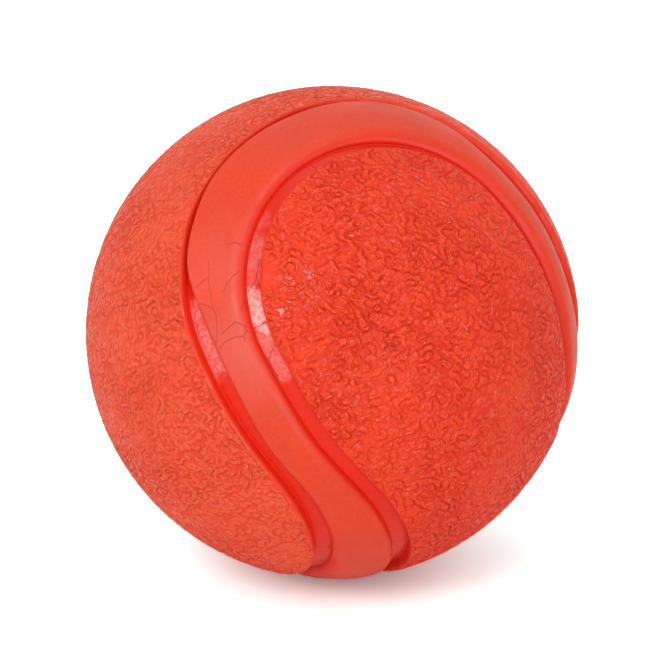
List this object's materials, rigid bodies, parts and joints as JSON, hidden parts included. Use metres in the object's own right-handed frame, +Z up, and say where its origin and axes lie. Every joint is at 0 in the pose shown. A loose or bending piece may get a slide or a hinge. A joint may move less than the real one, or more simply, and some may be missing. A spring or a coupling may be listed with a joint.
{
  "type": "dog ball",
  "caption": "Hollow rubber fetch ball for dogs, with grained cover panels that interlock like a tennis ball's and a smooth raised band between grooves.",
  "frame": {"origin": "centre of the ball", "axes": "+Z up and -Y towards the viewer as the ball lies in the picture; the seam is turned to match"},
  "size_m": [0.0634, 0.0634, 0.0634],
  "materials": {
    "core_rubber": "smooth",
    "panel_rubber": "grained, slightly glossy",
    "band_rubber": "smooth, slightly glossy"
  },
  "bodies": {
    "root": {"core_half_lower": "core_rubber", "core_half_upper": "core_rubber", "front_panel": "panel_rubber", "rear_panel": "panel_rubber", "seam_band": "band_rubber"}
  },
  "joints": []
}
